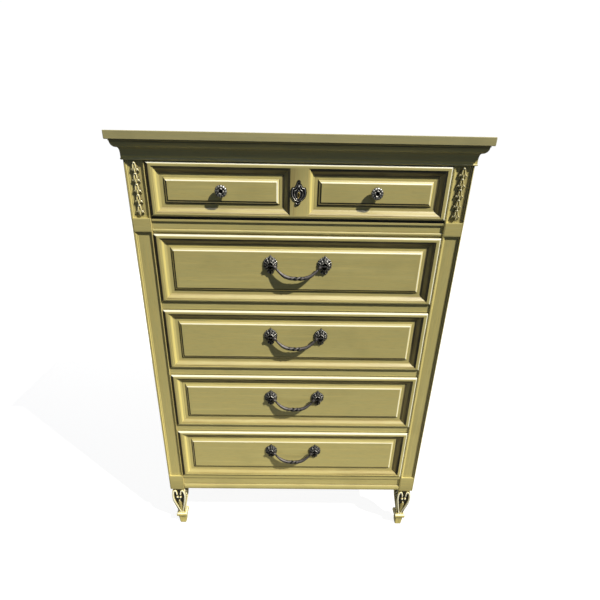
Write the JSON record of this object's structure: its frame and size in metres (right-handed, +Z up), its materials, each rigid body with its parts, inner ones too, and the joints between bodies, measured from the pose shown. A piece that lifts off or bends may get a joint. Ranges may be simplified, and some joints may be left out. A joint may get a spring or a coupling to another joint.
{
  "type": "tallboy chest of drawers",
  "caption": "Tall painted wooden chest: a shallow wide drawer over deeper ones, sliding in a panelled case with moulded cornice and carved legs, with knobs and swinging bail pulls.",
  "frame": {"origin": "on the floor, under the middle of the top board", "axes": "+Z up; the drawer fronts face -Y; +X to the viewer's right"},
  "size_m": [0.936, 0.486, 1.3835],
  "materials": {
    "painted_wood": "satin sage green paint with brown glaze rubbed into the mouldings",
    "cream_carving": "satin cream paint with brown glaze in the carving",
    "bare_wood": "sanded, unpainted",
    "plywood": "sanded, unpainted",
    "antique_metal": "dark antiqued casting with rubbed highlights"
  },
  "bodies": {
    "case": {"top_board": "painted_wood", "cornice_rail": "painted_wood", "cornice_return_left": "painted_wood", "cornice_return_right": "painted_wood", "front_post_left": "painted_wood", "front_post_right": "painted_wood", "side_panel_left": "painted_wood", "side_panel_right": "painted_wood", "back_panel": "plywood", "frieze_rail": "painted_wood", "divider_rail_upper": "painted_wood", "divider_rail_middle": "painted_wood", "divider_rail_lower": "painted_wood", "base_rail": "painted_wood", "leg_front_left": "cream_carving", "leg_front_right": "cream_carving", "leg_rear_left": "cream_carving", "leg_rear_right": "cream_carving", "runner_rack_left": "bare_wood", "runner_rack_right": "bare_wood"},
    "drawer_1": {"drawer_1_front": "painted_wood", "drawer_1_side_left": "bare_wood", "drawer_1_side_right": "bare_wood", "drawer_1_back": "bare_wood", "drawer_1_bottom": "plywood", "knob_left": "antique_metal", "knob_right": "antique_metal", "keyhole_plate": "antique_metal"},
    "drawer_2": {"drawer_2_front": "painted_wood", "drawer_2_side_left": "bare_wood", "drawer_2_side_right": "bare_wood", "drawer_2_back": "bare_wood", "drawer_2_bottom": "plywood", "pull_post_2_left": "antique_metal", "pull_post_2_right": "antique_metal"},
    "drawer_3": {"drawer_3_front": "painted_wood", "drawer_3_side_left": "bare_wood", "drawer_3_side_right": "bare_wood", "drawer_3_back": "bare_wood", "drawer_3_bottom": "plywood", "pull_post_3_left": "antique_metal", "pull_post_3_right": "antique_metal"},
    "drawer_4": {"drawer_4_front": "painted_wood", "drawer_4_side_left": "bare_wood", "drawer_4_side_right": "bare_wood", "drawer_4_back": "bare_wood", "drawer_4_bottom": "plywood", "pull_post_4_left": "antique_metal", "pull_post_4_right": "antique_metal"},
    "drawer_5": {"drawer_5_front": "painted_wood", "drawer_5_side_left": "bare_wood", "drawer_5_side_right": "bare_wood", "drawer_5_back": "bare_wood", "drawer_5_bottom": "plywood", "pull_post_5_left": "antique_metal", "pull_post_5_right": "antique_metal"},
    "bail_2": {"bail_2": "antique_metal"},
    "bail_3": {"bail_3": "antique_metal"},
    "bail_4": {"bail_4": "antique_metal"},
    "bail_5": {"bail_5": "antique_metal"}
  },
  "joints": [
    {"name": "drawer_1_slide", "type": "slide", "parent": "case", "child": "drawer_1", "axis": [0, -1, 0], "range_m": [0, 0.3]},
    {"name": "drawer_2_slide", "type": "slide", "parent": "case", "child": "drawer_2", "axis": [0, -1, 0], "range_m": [0, 0.3]},
    {"name": "drawer_3_slide", "type": "slide", "parent": "case", "child": "drawer_3", "axis": [0, -1, 0], "range_m": [0, 0.3]},
    {"name": "drawer_4_slide", "type": "slide", "parent": "case", "child": "drawer_4", "axis": [0, -1, 0], "range_m": [0, 0.3]},
    {"name": "drawer_5_slide", "type": "slide", "parent": "case", "child": "drawer_5", "axis": [0, -1, 0], "range_m": [0, 0.3]},
    {"name": "bail_2_hinge", "type": "hinge", "parent": "drawer_2", "child": "bail_2", "pos_m": [0, -0.224, 1.0475], "axis": [-1, 0, 0], "range_deg": [0, 90]},
    {"name": "bail_3_hinge", "type": "hinge", "parent": "drawer_3", "child": "bail_3", "pos_m": [0, -0.224, 0.8235], "axis": [-1, 0, 0], "range_deg": [0, 90]},
    {"name": "bail_4_hinge", "type": "hinge", "parent": "drawer_4", "child": "bail_4", "pos_m": [0, -0.224, 0.5995], "axis": [-1, 0, 0], "range_deg": [0, 90]},
    {"name": "bail_5_hinge", "type": "hinge", "parent": "drawer_5", "child": "bail_5", "pos_m": [0, -0.224, 0.3755], "axis": [-1, 0, 0], "range_deg": [0, 90]}
  ]
}
